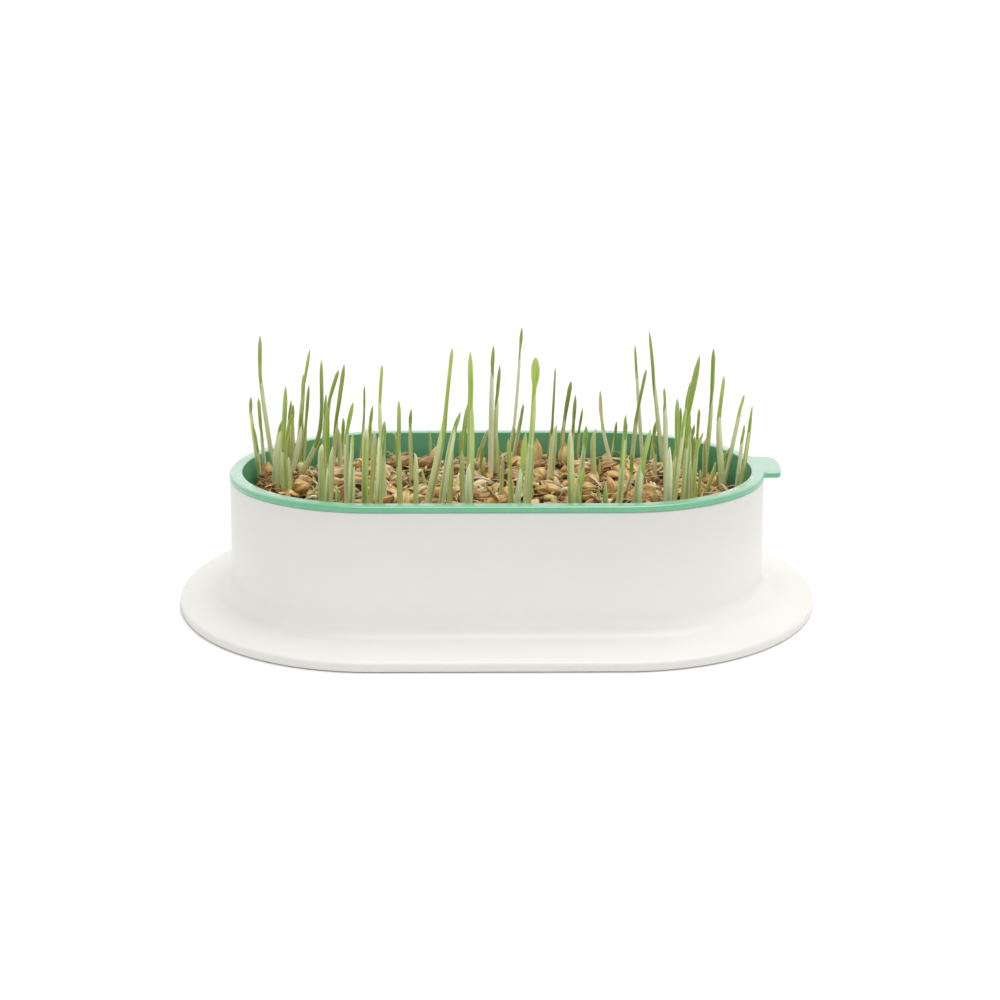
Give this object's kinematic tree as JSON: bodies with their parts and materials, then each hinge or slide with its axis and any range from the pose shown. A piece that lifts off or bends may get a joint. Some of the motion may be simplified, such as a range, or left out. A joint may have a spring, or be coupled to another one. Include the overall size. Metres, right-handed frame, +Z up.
{
  "type": "wheatgrass tray",
  "caption": "Oval sprouting tray with young wheatgrass: green lift-out tray of sprouted grain hung by its rim in a white pot with a wide foot and a lift tab at one end.",
  "frame": {"origin": "middle of the footprint, on the surface that the pot stands on", "axes": "+X along the length towards the lift tab, +Y to the back, +Z up"},
  "size_m": [0.194, 0.129, 0.077],
  "materials": {
    "pot_plastic": "satin white moulded plastic",
    "tray_plastic": "glossy mint green moulded plastic",
    "roots": "matted fine roots with husks, damp",
    "grain": "sprouted grain, straw brown with a matt husk",
    "shoot": "young grass, pale at the foot and green at the tip"
  },
  "bodies": {
    "root": {"outer_pot": "pot_plastic", "inner_tray": "tray_plastic", "root_mat": "roots", "grain_01": "grain", "grain_02": "grain", "grain_03": "grain", "grain_04": "grain", "grain_05": "grain", "grain_06": "grain", "grain_07": "grain", "grain_08": "grain", "grain_09": "grain", "shoot_01": "shoot", "shoot_02": "shoot", "shoot_03": "shoot", "shoot_04": "shoot", "shoot_05": "shoot", "shoot_06": "shoot", "shoot_07": "shoot", "shoot_08": "shoot", "shoot_09": "shoot", "shoot_10": "shoot", "shoot_11": "shoot", "shoot_12": "shoot", "shoot_13": "shoot", "shoot_14": "shoot", "shoot_15": "shoot", "shoot_16": "shoot", "shoot_17": "shoot", "shoot_18": "shoot", "shoot_19": "shoot", "shoot_20": "shoot", "shoot_21": "shoot", "shoot_22": "shoot", "shoot_23": "shoot", "shoot_24": "shoot", "shoot_25": "shoot", "shoot_26": "shoot", "shoot_27": "shoot", "shoot_28": "shoot", "shoot_29": "shoot", "shoot_30": "shoot", "shoot_31": "shoot", "shoot_32": "shoot", "shoot_33": "shoot", "shoot_34": "shoot", "shoot_35": "shoot", "shoot_36": "shoot", "shoot_37": "shoot", "shoot_38": "shoot", "shoot_39": "shoot", "shoot_40": "shoot", "shoot_41": "shoot", "shoot_42": "shoot", "shoot_43": "shoot", "shoot_44": "shoot", "shoot_45": "shoot", "shoot_46": "shoot", "shoot_47": "shoot"}
  },
  "joints": []
}
